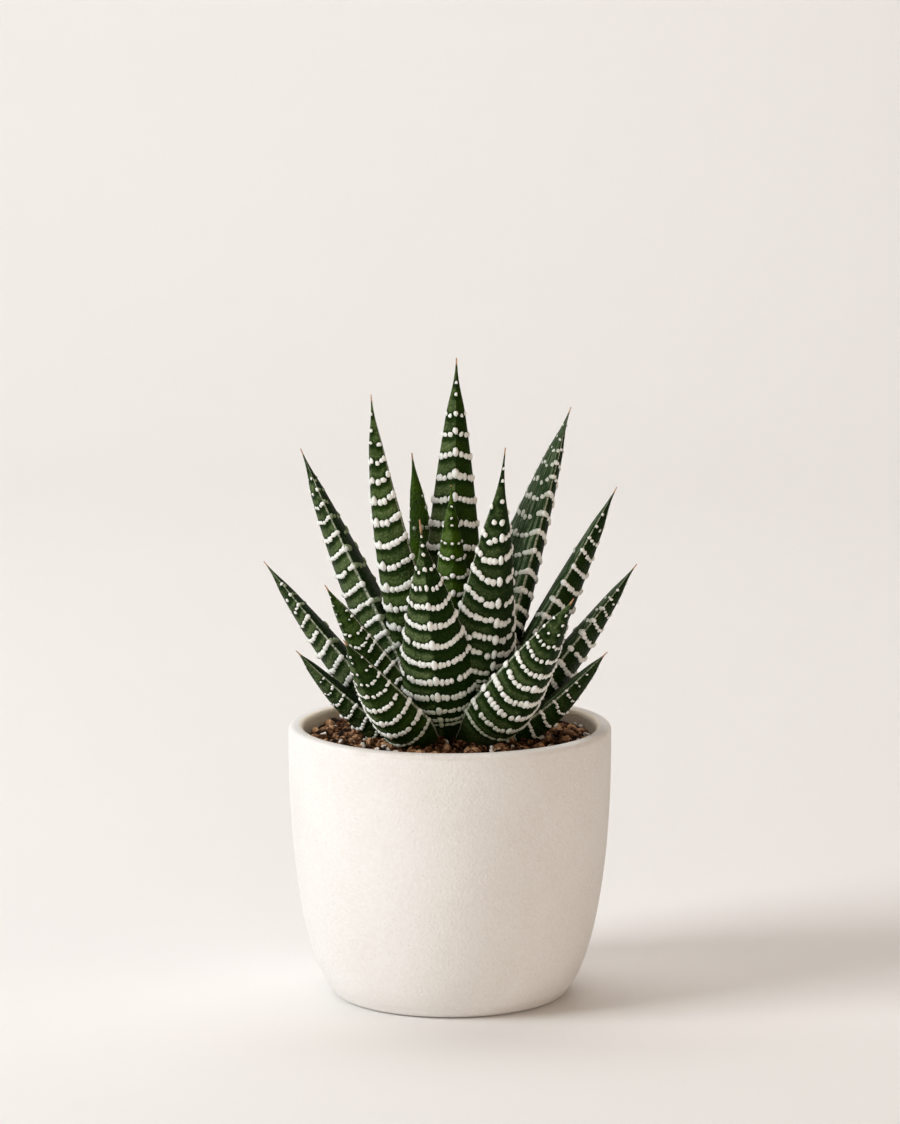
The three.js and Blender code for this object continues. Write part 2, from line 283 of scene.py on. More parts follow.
def glaze():
    material, start, place, shader = new_material("matt_white_glaze")
    cloud = place.noise(26, 4, 0.6).smooth(0.35, 0.68)
    fine = place.noise(800, 3, 0.65)
    stipple = place.cells(1100).smooth(0.15, 0.7)
    sparse = place.noise(70, 2).smooth(0.42, 0.62)
    specks = place.cells(520).smooth(0.13, 0.07) * sparse
    pits = place.cells(1150).smooth(0.2, 0.08) * fine.smooth(0.5, 0.62)
    axes = place.axes()
    from_axis = (axes.out("X") * axes.out("X") + axes.out("Y") * axes.out("Y")).maths("SQRT")
    worn = from_axis.smooth(*WORN_RADIUS) * axes.out("Z").smooth(*WORN_HEIGHT)
    worn = worn * place.noise(60, 3).smooth(0.4, 0.7, 0.0, 0.35)
    # Painted light: the inside wall below the rim is tinted warm and pale, standing in for light bounced
    # inside the pot.
    inside_bounce = from_axis.smooth(*INSIDE_RADIUS) * axes.out("Z").smooth(*INSIDE_HEIGHT)
    colour = (cloud * 0.45 + fine.smooth(0.3, 0.7) * 0.35 + stipple * 0.2).blend(GLAZE_WHITE, GLAZE_CREAM)
    colour = (specks * 0.4 + pits * 0.2).blend(colour, GLAZE_SPECK)
    colour = worn.blend(colour, GLAZE_SPECK)
    colour = inside_bounce.blend(colour, INSIDE_BOUNCE_TINT)
    roughness = 0.52 + cloud * 0.08 + fine * 0.08
    height = place.noise(60, 3) * 0.5 + fine * 0.4 - stipple * 0.35 - pits * 0.4
    finish_material(start, shader, colour, roughness, height, GLAZE_RELIEF, IOR=1.45)
    return material


def add_piece(name, mesh, slot, *nodes):
    """Puts a finished mesh into the scene on the plant's one body, in place of those nodes."""
    piece = bpy.data.objects.new(name, mesh)
    bpy.context.scene.collection.objects.link(piece)
    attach(piece, "root")
    if nodes:
        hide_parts(*nodes)


turned = pot_mesh()
pot_skin = bpy.data.meshes.new("ceramic_pot")
turned.to_mesh(pot_skin)
turned.free()
pot_skin.shade_smooth()
pot_skin.materials.append(glaze())
add_piece("ceramic_pot", pot_skin, "pot", "pot")

# --------------------------------------------------------------------------------------------------
# Soil
# A gritty mix of crumbled bark and a few white beads of perlite, poured in loose to just under the rim. The
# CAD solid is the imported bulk, and a top layer of chunks, crumbs and beads is strewn over it.

CHUNK_RADIUS = (1.1 * MM, 2.3 * MM)
CHUNKS_PER_AREA = 170000
CHUNK_ROOM = 38.9 * MM
CRUMB_RADIUS = (0.35 * MM, 0.85 * MM)
CRUMBS_PER_AREA = 560000
CRUMB_ROOM = 40.0 * MM
PERLITE_RADIUS = (0.6 * MM, 1.05 * MM)
PERLITE_PER_AREA = 17000
PERLITE_LIFT = 1.1 * MM
GRAIN_FLATTEST = (0.75, 0.6, 0.55)
GRAIN_ROUNDEST = (1.15, 1.0, 0.9)
GRAIN_KNOCK = 1.7 * MM
SOIL_TOP = 71 * MM

BARK_TONES = (0.0, 0.9)
PERLITE_TONES = (1.0, 1.0)
PERLITE_FROM = (0.942, 0.948)
# Heights above the soil under a grain over which its painted highlight on top comes in.
LIT_TOP_HEIGHT = (-0.6 * MM, 1.6 * MM)
BARK_RELIEF = 0.9 * MM

BARK_DARK = (0.008, 0.003, 0.001, 1)
BARK_BROWN = (0.165, 0.068, 0.026, 1)
BARK_TAN = (0.68, 0.39, 0.21, 1)
PERLITE_WHITE = (0.95, 0.87, 0.77, 1)


def new_tree(name, *inputs):
    """An empty Geometry Nodes tree with those inputs, a wire in it, and its input wires by name."""
    tree = bpy.data.node_groups.new(name, "GeometryNodeTree")
    tree.interface.new_socket("Geometry", in_out="OUTPUT", socket_type="NodeSocketGeometry")
    for label, kind in inputs:
        tree.interface.new_socket(label, in_out="INPUT", socket_type="NodeSocket" + kind)
    start = Wire(tree)
    entry = start.make("NodeGroupInput")
    return tree, start, {label: entry.out(label) for label, _ in inputs}


def grow(tree, name, values):
    """Runs a tree with those input values on an empty object, and returns the plain mesh that it makes."""
    carrier = bpy.data.objects.new(name, bpy.data.meshes.new(name))
    bpy.context.scene.collection.objects.link(carrier)
    modifier = carrier.modifiers.new(name, "NODES")
    modifier.node_group = tree
    for item in tree.interface.items_tree:
        if item.in_out == "INPUT":
            modifier[item.identifier] = values[item.name]
    carrier.update_tag()
    depsgraph = bpy.context.evaluated_depsgraph_get()
    depsgraph.update()
    mesh = bpy.data.meshes.new_from_object(carrier.evaluated_get(depsgraph))
    mesh.name = name
    bpy.data.objects.remove(carrier)
    return mesh


def join(first, *others):
    """The geometry of all those wires in one."""
    joined = first.make("GeometryNodeJoinGeometry", None, {"Geometry": first})
    for other in others:
        first.tree.links.new(other.socket, joined.socket.node.inputs[0])
    return joined


def store(geometry, name, value, kind="FLOAT", domain="POINT"):
    """The geometry with that value stored on each of its points or faces, for a material to read by name."""
    settings = {"data_type": kind, "domain": domain}
    inputs = {"Geometry": geometry, "Name": name, "Value": value}
    return geometry.make("GeometryNodeStoreNamedAttribute", settings, inputs)


def attribute(start, name, kind="Fac"):
    """A stored value as a number, or as a vector where kind says so."""
    return start.make("ShaderNodeAttribute", {"attribute_name": name}).out(kind)


def bark():
    """Earth colours from each grain's own tone, paler on its top as a painted highlight, darker in the
    hollows and seams of its bump as painted shade, and white for the beads of perlite.
    """
    material, start, place, shader = new_material("bark_and_perlite")
    tone = attribute(start, "tone")
    # Painted highlight: each grain is paler the higher a place on it stands above the soil under it.
    lit_top = (place.axes().out("Z") - attribute(start, "seat")).smooth(*LIT_TOP_HEIGHT)
    rough = place.noise(420, 5, 0.7).smooth(0.3, 0.7)
    lumps = place.cells(850).smooth(0.7, 0.1)
    # Painted shade: the colour also darkens in the hollows of the rough noise and in the seams between the
    # lumps, where the bump sinks too.
    shade = tone * (lit_top * 0.8 + 0.15) + rough * 0.35 + lumps * 0.25 - 0.19
    ramp = {"stops": [(0.08, BARK_DARK), (0.42, BARK_BROWN), (0.85, BARK_TAN)]}
    brown = start.make("ShaderNodeValToRGB", ramp, {"Fac": shade})
    colour = tone.smooth(*PERLITE_FROM).blend(brown, PERLITE_WHITE)
    roughness = 0.7 + rough * 0.2
    height = rough * 0.7 + lumps
    finish_material(start, shader, colour, roughness, height, BARK_RELIEF, Specular_IOR_Level=0.1)
    return material


def scatter(start, top, density, room, radius, lift, tones, sides, rings, seed):
    """Grains of one size: lumpy spheres strewn over the soil's top or a little above it, no farther than room
    from the axis. Each stores its own tone and the height of the soil under it."""

    def chance(low, high, step):
        kind = "FLOAT_VECTOR" if isinstance(low, tuple) else "FLOAT"
        inputs = {"Min": low, "Max": high, "Seed": seed + step}
        return start.make("FunctionNodeRandomValue", {"data_type": kind}, inputs).out("Value")

    place = start.make("GeometryNodeInputPosition").axes()
    facing = start.make("GeometryNodeInputNormal").axes().out("Z")
    on_top = (place.out("Z") > SOIL_TOP) * (facing > 0.5)
    spots = start.make(
        "GeometryNodeDistributePointsOnFaces", {"distribute_method": "RANDOM"},
        {"Mesh": top, "Selection": on_top, "Density": density, "Seed": seed},
    )
    from_axis = (place.out("X") * place.out("X") + place.out("Y") * place.out("Y")).maths("SQRT")
    lifted = start.make("GeometryNodeSetPosition", None, {"Geometry": spots, "Offset": (0.0, 0.0, lift)})
    toned = store(lifted, "tone", chance(*tones, 1))
    seated = store(toned, "seat", place.out("Z"))
    turn = chance((0.0, 0.0, 0.0), (math.tau, math.tau, math.tau), 2)
    stretch = chance(GRAIN_FLATTEST, GRAIN_ROUNDEST, 3)
    size = chance(*radius, 4)
    grain = start.make("GeometryNodeMeshUVSphere", None, {"Segments": sides, "Rings": rings, "Radius": 1.0})
    return start.make(
        "GeometryNodeInstanceOnPoints", None,
        {"Points": seated, "Selection": from_axis < room, "Instance": grain, "Rotation": turn,
         "Scale": stretch * size},
    )


def grit_tree():
    """Chunks, crumbs and beads over the soil, all knocked out of round."""
    tree, start, given = new_tree(
        "loose_grit", ("Soil", "Object"), ("Chunk Density", "Float"), ("Crumb Density", "Float"),
        ("Perlite Density", "Float"), ("Bark", "Material"),
    )
    top = start.make("GeometryNodeObjectInfo", None, {"Object": given["Soil"]}).out("Geometry")
    chunks = scatter(
        start, top, given["Chunk Density"], CHUNK_ROOM, CHUNK_RADIUS, 0.0, BARK_TONES,
        sides=8, rings=5, seed=11,
    )
    crumbs = scatter(
        start, top, given["Crumb Density"], CRUMB_ROOM, CRUMB_RADIUS, 0.0, BARK_TONES,
        sides=5, rings=4, seed=23,
    )
    beads = scatter(
        start, top, given["Perlite Density"], CHUNK_ROOM, PERLITE_RADIUS, PERLITE_LIFT, PERLITE_TONES,
        sides=7, rings=5, seed=37,
    )
    grains = start.make("GeometryNodeRealizeInstances", None, {"Geometry": join(chunks, crumbs, beads)})
    place = start.make("GeometryNodeInputPosition")
    knock = (place.noise(420, 2, 0.6).out("Color") - (0.5, 0.5, 0.5)) * GRAIN_KNOCK
    knocked = start.make("GeometryNodeSetPosition", None, {"Geometry": grains, "Offset": knock})
    final = start.make("GeometryNodeSetMaterial", None, {"Geometry": knocked, "Material": given["Bark"]})
    start.make("NodeGroupOutput", None, {"Geometry": final})
    return tree


bark_mix = bark()
soil_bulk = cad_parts["soil"]
soil_bulk.data.materials.clear()
soil_bulk.data.materials.append(bark_mix)
grit_values = {
    "Soil": soil_bulk,
    "Chunk Density": CHUNKS_PER_AREA,
    "Crumb Density": CRUMBS_PER_AREA,
    "Perlite Density": PERLITE_PER_AREA,
    "Bark": bark_mix,
}
grit = grow(grit_tree(), "loose_grit", grit_values)
grit.shade_flat()
add_piece("loose_grit", grit, "soil")

# --------------------------------------------------------------------------------------------------
# Stem
# A short fleshy stem in the middle of the rosette, with thick pale roots that reach down into the grit. The
# leaves and the soil hide all of it, and it keeps the form of its CAD solid.

ROOT_PALE = (0.46, 0.40, 0.24, 1)
ROOT_BROWN = (0.19, 0.11, 0.05, 1)
ROOT_RELIEF = 0.3 * MM


def root_bark():
    material, start, place, shader = new_material("pale_root")
    stain = place.noise(180, 4, 0.6)
    rings = place.noise(1400, 2)
    colour = stain.smooth(0.35, 0.7).blend(ROOT_PALE, ROOT_BROWN)
    finish_material(start, shader, colour, 0.6 + stain * 0.25, stain + rings * 0.4, ROOT_RELIEF)
    return material


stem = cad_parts["stem_with_roots"]
stem.data.materials.clear()
stem.data.materials.append(root_bark())

# --------------------------------------------------------------------------------------------------
# Leaves
# Stiff pointed leaves in a tight rosette, each grown from the stem. The outer face has a blunt keel and is
# crossed by bands of raised white pearls, the inner face is nearly flat and darker, and the tip is drawn out
# to a dry bristle. Light and shade from the window are also painted into the rind and the pearls.

LEAF_AROUND = 44
LEAF_ALONG = 150
LEAF_KEEL = (0.44, 0.43)
LEAF_RIDGE = (0.03, 0.4)
LEAF_INNER_BULGE = (0.07, 0.24)
LEAF_TIP_WIDTH = 0.36 * MM
LEAF_WIDEST = 0.3
LEAF_NECK = 0.5
LEAF_POINT_BLUNT = 0.04
LEAF_WELD = 0.002 * MM
LEAF_RELIEF = 0.25 * MM
LEAF_BOWED_LENGTH = 1.015
SHARP_BEND = math.radians(15)
# The window light's direction and the facet tilts below serve only painted light: each leaf's two outer
# facets and its inner face get a painted brightness from how squarely they face that light.
SUNNY_SIDE = Vector((-0.89, -0.41, 0.2))
FACET_OUT = 0.75
FACET_ASIDE = 0.65
SUN_WRAP = 0.4
SUN_RANGE = 1.3
BLADE = (1.5, 0.15)
SPEAR = (1.3, 0.2)
TEARDROP = (1.0, 0.3)

BAND_COUNT = 21
LAST_WIDE_BAND = 14
LOW_BAND_GAP = 0.45
LOWEST_BAND = 0.22
BAND_WANDER = 1.0 * MM
BAND_FLAT = 3.2 * MM
BAND_FAULT = 1.1 * MM
BAND_OPENING = 0.26
HALF_BAND_PIECES = 1.5
FULL_DIP_FROM = (8 * MM, 25 * MM)

PEARL_SLOTS = 33
PEARL_PROUD = 0.35 * MM
PEARL_BROAD = 0.73
PEARL_HIGH = 0.46 * MM
PEARL_STRAY = 0.15 * MM
DOTTED_STRAY = 0.6 * MM
OUTER_REACH = 0.66
OUTER_MARGIN = 0.25
INNER_REACH = 0.47
INNER_MARGIN = 0.5
KEEL_ROOM = 0.3
KEEL_PEARLS_FROM = (10 * MM, 30 * MM)
FULL_SIZE_FROM = (3 * MM, 32 * MM)
SMALLEST_PEARL = 0.42
SLOT_JITTER = 0.2
DOTTED_GAP = 2.2
BROAD_SPREAD = (0.85, 1.2)
LONG_SPREAD = (0.8, 1.15)
HIGH_SPREAD = (0.8, 1.25)
INNER_PEARL_HEIGHT = 0.6
THIN_BELOW = (0.18, 0.38)
THINNEST = 0.45
PAINTED_SHADE_BELOW = (0.18, 0.42)
PEARL_KNOCK = 0.85 * MM
PEARL_RELIEF = 0.1 * MM
COVERED_DEPTH = 0.1 * MM
COVERED_FACING = -0.7
# How far towards the tip the distance to the pearls is read, and the distances over which the rind runs from
# painted shadow to unshaded.
PEARL_SHADOW_DROP = 0.5 * MM
PEARL_SHADOW_REACH = (0.1 * MM, 1.5 * MM)

LEAF_DEEP = (0.004, 0.014, 0.001, 1)
LEAF_GREEN = (0.024, 0.054, 0.003, 1)
# A pale grey-green painted sheen for the facets that face the window light.
LEAF_PAINTED_SHEEN = (0.160, 0.210, 0.088, 1)
LEAF_YOUNG = (0.050, 0.105, 0.002, 1)
LEAF_INNER = (0.018, 0.042, 0.012, 1)
LEAF_STREAK = (0.19, 0.23, 0.14, 1)
LEAF_EDGE = (0.60, 0.62, 0.48, 1)
BRISTLE_TAN = (0.48, 0.27, 0.15, 1)
PEARL_WHITE = (0.88, 0.87, 0.83, 1)
PEARL_GREY = (0.64, 0.66, 0.56, 1)
# Dull green: the inner face's own pearl colour, and also the colour of painted shade on pearls.
PEARL_DULL_AND_SHADED = (0.22, 0.27, 0.14, 1)


def smooth_step(share):
    share = min(1, max(0, share))
    return share * share * (3 - 2 * share)


class Leaf:
    """One leaf, in millimetres and degrees.

    Its outer face looks along bearing: 0 is the front and 90 the right. out and root are the start's
    distance from the stem's axis and its height, tip is the point's place, and bow is how far the leaf
    swings outward a third and two thirds of the way up. narrows is the power of its taper and the share of
    its length that is drawn out to a point. bristle is the length of its dry tip.

    The bands start first_band below the tip. They lie band_gap apart at the band whose number is widest, and
    crowding is the share by which they are closer at the tip. dip is how much lower a band lies on the keel
    than at the margins, and inner is the share of the bands that cross the inner face too. Pearls stand about
    pitch apart and are tall long, and over the length dotted they stand wider apart.

    youth and unruly go from 0 to 1, and the last argument scales the painted light and painted sheen that the
    window light gives its facets: 1 is usual.
    """

    def __init__(self, name, bearing, out, root, tip, width, bow, narrows, first_band=6.0, band_gap=5.4,
                 crowding=0.55, pitch=1.15, tall=1.65, dip=2.5, youth=0.0, unruly=0.2, dotted=14.0,
                 bristle=2.2, widest=7.5, inner=0.0, painted_sheen=1.0):
        self.name = "leaf_" + name
        turn = math.radians(bearing)
        away = Vector((math.sin(turn), -math.cos(turn), 0))
        level = Vector((math.cos(turn), math.sin(turn), 0))
        start = (away * out + Vector((0, 0, root))) * MM
        chord = Vector(tip) * MM - start
        along = chord.normalized()
        outward = (away - along * away.dot(along)).normalized()
        aside = level * FACET_ASIDE
        # Painted light: how squarely each outer facet and the inner face look toward the window light, to be
        # painted into the rind and the pearls.
        facets = (outward * FACET_OUT - aside, outward * FACET_OUT + aside, -outward)
        painted_facet_light = [smooth_step((facet.dot(SUNNY_SIDE) + SUN_WRAP) / SUN_RANGE) for facet in facets]
        taper_power, drawn_out = narrows
        self.inputs = {
            "Start": start,
            "Lower": start + chord / 3 + outward * bow[0] * MM,
            "Upper": start + chord * 2 / 3 + outward * bow[1] * MM,
            "Tip": Vector(tip) * MM,
            "Level": level,
            "Length": chord.length * LEAF_BOWED_LENGTH,
            "Width": width * MM - 2 * PEARL_PROUD,
            "Taper Power": taper_power,
            "Drawn Out": drawn_out,
            "First Band": first_band * MM,
            "Band Gap": band_gap * MM,
            "Band Turn": math.acos(1 - crowding) / widest,
            "Widest Band": widest,
            "Pitch": pitch * MM,
            "Tall": tall * MM,
            "Dip": dip * MM,
            "Youth": youth,
            "Unruly": unruly,
            "Dotted": dotted * MM,
            "Bristle": bristle * MM,
            "Inner Bands": inner,
            "Sun": Vector(painted_facet_light) * painted_sheen,
        }


LEAVES = [
    Leaf("inner_front_tall", 2, 2, 76, (1.8, -2, 179.2), 17.5, (3, 1.5), BLADE, 6.6, 6.6, 0.42, 1.25, 2.05,
         -1.4, youth=0.2, unruly=0.05, dotted=17),
    Leaf("inner_front_young", 5, 5, 74, (0.3, -19, 146.3), 14, (3, 1.5), BLADE, 5.8, 5.2, tall=1.3, dip=0,
         youth=0.8, unruly=0.5, dotted=20, bristle=0.3, painted_sheen=0.5),
    Leaf("inner_back_left", -165, 3, 75, (-10.6, 7, 151.5), 12.5, (3, 1.5), BLADE, 6, 5.2, youth=1.0,
         inner=0.2),
    Leaf("inner_left_tall", -45, 4, 74, (-21.6, -11, 170.2), 16.5, (0.5, 6), BLADE, 6, 6.2, pitch=1.25,
         tall=2.05, dip=1.2, youth=0.25, unruly=0.05, dotted=18),
    Leaf("inner_right_tall", 118, 2, 74, (33.6, 9, 164.2), 22, (-1.5, -0.7), BLADE, 6, 5.6, inner=1.0),
    Leaf("inner_front_right", 26, 6, 73, (15, -26, 157.6), 22.5, (5.5, 3), TEARDROP, 5.5, 5.7, 0.39, 1.25,
         2.15, unruly=1.0, dotted=21, widest=5.5, painted_sheen=0.6),
    Leaf("inner_back", 180, 4, 73, (1.5, 36, 136), 17, (4, 2), SPEAR, 6, 5.6, youth=0.2),
    Leaf("inner_back_right", 146, 5, 72, (21, 36, 128), 17, (4, 2), SPEAR, 6, 5.6),
    Leaf("middle_left", -91, 3, 72, (-41.4, 6, 152.9), 21, (-2.5, 1.5), BLADE, dip=0.7, inner=0.6),
    Leaf("middle_right", 84, 5, 71, (46.3, 4, 142.5), 19, (1, 0.5), BLADE, dip=0.6, inner=0.4),
    Leaf("middle_front", -3, 3, 71, (-8.2, -38, 139.7), 25, (4.5, 2.7), TEARDROP, 5.4, 5.7, 0.7, 1.15, 2.4,
         0, unruly=0.1, dotted=19, bristle=4.5, widest=6.5, painted_sheen=1.3),
    Leaf("middle_back_left", -145, 6, 71, (-17, 32, 129), 17, (4.5, 2.3), SPEAR),
    Leaf("middle_back", 170, 8, 70, (7, 41, 120), 18, (5, 2.5), SPEAR),
    Leaf("outer_left", -85, 5, 70, (-51.8, 5, 121.4), 17, (2, 1), BLADE, 6, 5.2, dip=0.9, inner=0.3),
    Leaf("outer_right", 86, 6, 70, (51.8, 0, 121.5), 17, (3, 1.5), BLADE, 6, 5.2, dip=0.9, inner=0.3),
    Leaf("outer_front_left_small", -40, 6, 73, (-34.1, -26, 119.9), 16.5, (2, 1), BLADE, 4.5, 3.9, pitch=1.0,
         tall=1.3, dip=1.5, youth=0.3, unruly=0.8, painted_sheen=0.8),
    Leaf("outer_front_left", -28, 11, 73, (-28.8, -39, 107), 18, (4, 2), BLADE, 5, 4.8, tall=1.9, dip=1.7,
         youth=0.15),
    Leaf("outer_front_right", 24, 11, 73, (33.4, -36, 117.8), 20.5, (4.5, 2.2), BLADE, 5, 4.8, tall=2.2,
         dip=1.7, painted_sheen=0.75),
    Leaf("outer_back", -178, 10, 69, (-4, 43, 106), 17, (6, 3), SPEAR, 5, 5),
    Leaf("outer_back_left", -138, 8, 69, (-28, 32, 105), 17, (6, 3), SPEAR, 5, 5),
    Leaf("outer_back_right", 134, 8, 69, (31, 31, 102), 17, (6, 3), SPEAR, 5, 5),
    Leaf("lowest_left", -80, 9, 72, (-42.4, -13, 99.4), 14.5, (3.5, 1.7), BLADE, 5, 4.8, pitch=1.0, tall=1.3,
         dip=1.2),
    Leaf("lowest_right", 78, 9, 72, (43.3, -12, 98.8), 15, (4.5, 2.2), BLADE, 5, 5.4, pitch=1.0, tall=1.2,
         dip=1.4),
    Leaf("lowest_back_left", -160, 11, 69, (-17, 42, 92), 15, (5, 2.5), BLADE, 5, 4.8, tall=1.5),
    Leaf("lowest_back_right", 158, 11, 69, (18, 42, 90), 15, (5, 2.5), BLADE, 5, 4.8, tall=1.5),
]


def between(along, ends):
    """Runs evenly from the first value at the leaf's root to the last at its tip."""
    return along * (ends[1] - ends[0]) + ends[0]


def leaf_width(given, along):
    """A narrow neck, the widest place at a third, then a long even taper to the point."""
    neck = along.smooth(0, LEAF_WIDEST, LEAF_NECK, 1)
    past = ((along - LEAF_WIDEST) / (1 - LEAF_WIDEST)).maths("MAXIMUM", 0.0)
    taper = 1 - past ** given["Taper Power"]
    point = (1 - along).smooth(-LEAF_POINT_BLUNT, given["Drawn Out"])
    return (given["Width"] - LEAF_TIP_WIDTH) * neck * taper * point + LEAF_TIP_WIDTH


def leaf_axes(given, along):
    """The middle line's place at that share of the length, with its directions along, across and outward."""
    back = 1 - along
    place = (
        given["Start"] * (back ** 3)
        + given["Lower"] * (back * back * along * 3)
        + given["Upper"] * (back * along * along * 3)
        + given["Tip"] * (along ** 3)
    )
    heading = (
        (given["Lower"] - given["Start"]) * (back * back)
        + (given["Upper"] - given["Lower"]) * (back * along * 2)
        + (given["Tip"] - given["Upper"]) * (along * along)
    ).maths("NORMALIZE")
    tilt = given["Level"].maths("DOT_PRODUCT", heading).out("Value")
    across = (given["Level"] - heading * tilt).maths("NORMALIZE")
    return place, heading, across, across.maths("CROSS_PRODUCT", heading)


def outer_rise(along, turn):
    """The outer face's height at that turn from the keel, as a share of the width."""
    keel = between(along, LEAF_KEEL)
    ridge = between(along, LEAF_RIDGE)
    return keel * ((1 - ridge) * turn.maths("COSINE") + ridge * (1 - abs(turn.maths("SINE"))))


def outer_slope(along, turn):
    """How steeply the outer face falls away at that turn from the keel."""
    keel = between(along, LEAF_KEEL)
    ridge = between(along, LEAF_RIDGE)
    side = turn.maths("SINE")
    return keel * ((1 - ridge) * side + ridge * turn.maths("COSINE") * side.maths("SIGN"))


def band_place(given, band):
    """How far a band lies from the tip. The gaps widen to the middle of the leaf and close up below it."""
    turn = given["Band Turn"]
    upper = band.maths("MINIMUM", LAST_WIDE_BAND)
    arc = ((upper - given["Widest Band"]) * turn).maths("SINE") + (turn * given["Widest Band"]).maths("SINE")
    return given["First Band"] + given["Band Gap"] * (arc / turn + (band - upper) * LOW_BAND_GAP)


def nearest_face(start, mesh, spot):
    """The nearest place on the mesh's faces, and with out("Distance") how far off it is."""
    settings = {"target_element": "FACES"}
    return start.make("GeometryNodeProximity", settings, {"Geometry": mesh, "Sample Position": spot})


def leaf_skin(start, given, white):
    """A closed skin: a grid rolled round the leaf's section, its first and last rows drawn in to a point.
    Every place on it stores how far the nearest pearl is, measured from a little nearer the tip, for the
    painted shadow that the rind lays below and beside the pearls."""
    grid = start.make(
        "GeometryNodeMeshGrid", None,
        {"Size X": 1.0, "Size Y": 1.0, "Vertices X": LEAF_AROUND + 1, "Vertices Y": LEAF_ALONG + 1},
    )
    spot = start.make("GeometryNodeInputPosition").axes()
    turn = spot.out("X") * math.tau
    row = (spot.out("Y") + 0.5) * LEAF_ALONG
    share = (row - 1) / (LEAF_ALONG - 2)
    along = share.maths("MINIMUM", 1.0).maths("MAXIMUM", 0.0)
    closed = row.maths("MINIMUM", LEAF_ALONG - row).maths("MINIMUM", 1.0)
    side = turn.maths("SINE")
    facing = turn.maths("COSINE")
    outer = facing > 0.0
    width = leaf_width(given, along)
    place, heading, across, out = leaf_axes(given, along)
    from_tip = (1 - along) * given["Length"]
    inner_rise = between(along, LEAF_INNER_BULGE) * width * facing
    lift = outer_rise(along, turn) * width * outer + inner_rise * (1 - outer)
    shaped = place + (across * (side * width * 0.5) + out * lift) * closed
    # For a painted shadow: the distance to the nearest pearl, read a little nearer the tip so that the shadow
    # falls mostly below each band.
    pearl = nearest_face(start, white, shaped + heading * PEARL_SHADOW_DROP)
    labels = {
        "across": side,
        "along": along,
        "from_tip": from_tip,
        "dryness": from_tip / given["Bristle"],
        "youth": given["Youth"],
        "unruly": given["Unruly"],
        "gap": pearl.out("Distance"),
    }
    skin = grid
    for label, value in labels.items():
        skin = store(skin, label, value)
    skin = store(skin, "outer", outer, domain="FACE")
    # Each facet's painted light, which the rind turns into painted light, shade and sheen.
    skin = store(skin, "sun", given["Sun"], kind="FLOAT_VECTOR")
    rolled = start.make("GeometryNodeSetPosition", None, {"Geometry": skin, "Position": shaped})
    closed_up = start.make("GeometryNodeMergeByDistance", None, {"Geometry": rolled, "Distance": LEAF_WELD})
    bend = start.make("GeometryNodeInputMeshEdgeAngle").out("Unsigned Angle")
    return start.make(
        "GeometryNodeSetShadeSmooth", {"domain": "EDGE"},
        {"Geometry": closed_up, "Selection": bend > SHARP_BEND, "Shade Smooth": False},
    )


def covered(start, crowd, spot):
    """Whether that place lies inside another leaf."""
    nearest = nearest_face(start, crowd, spot)
    face = start.make(
        "GeometryNodeSampleNearestSurface", {"data_type": "FLOAT_VECTOR"},
        {"Mesh": crowd, "Value": start.make("GeometryNodeInputNormal"), "Sample Position": spot},
    )
    offset = (spot - nearest.out("Position")).maths("NORMALIZE")
    outside = offset.maths("DOT_PRODUCT", face).out("Value")
    return (outside < COVERED_FACING) * (nearest.out("Distance") > COVERED_DEPTH)


